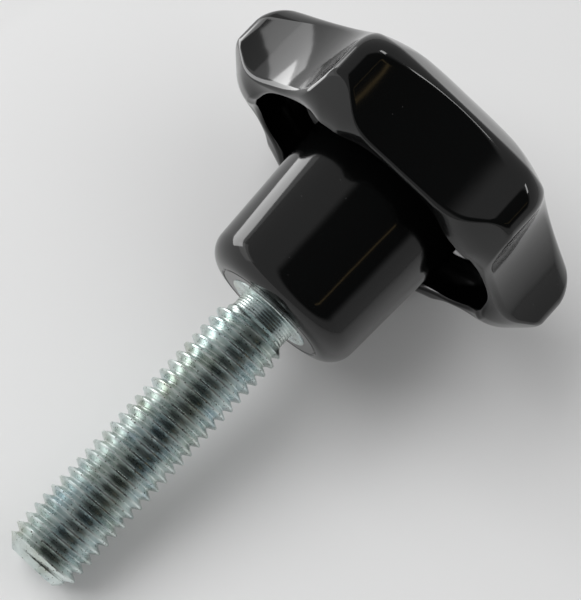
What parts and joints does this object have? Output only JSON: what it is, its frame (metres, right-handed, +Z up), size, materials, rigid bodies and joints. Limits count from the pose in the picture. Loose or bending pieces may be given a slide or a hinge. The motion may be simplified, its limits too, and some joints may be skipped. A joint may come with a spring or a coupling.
{
  "type": "star knob",
  "caption": "Black star grip with a hollow underside, a tapered hub and a moulded-in zinc-plated threaded stud; clamps by hand.",
  "frame": {"origin": "on the ground below the middle of the knob's box, as it lies on two lobes and the end of its stud", "axes": "+Z up, +X along the ground from the stud towards the grip, +Y across the grip"},
  "size_m": [0.0918, 0.062, 0.0533],
  "materials": {
    "grip_plastic": "high-gloss black thermoset moulding",
    "plated_steel": "bright blue-white zinc plating on a cut thread"
  },
  "bodies": {
    "root": {"knob_body": "grip_plastic", "threaded_stud": "plated_steel"}
  },
  "joints": []
}
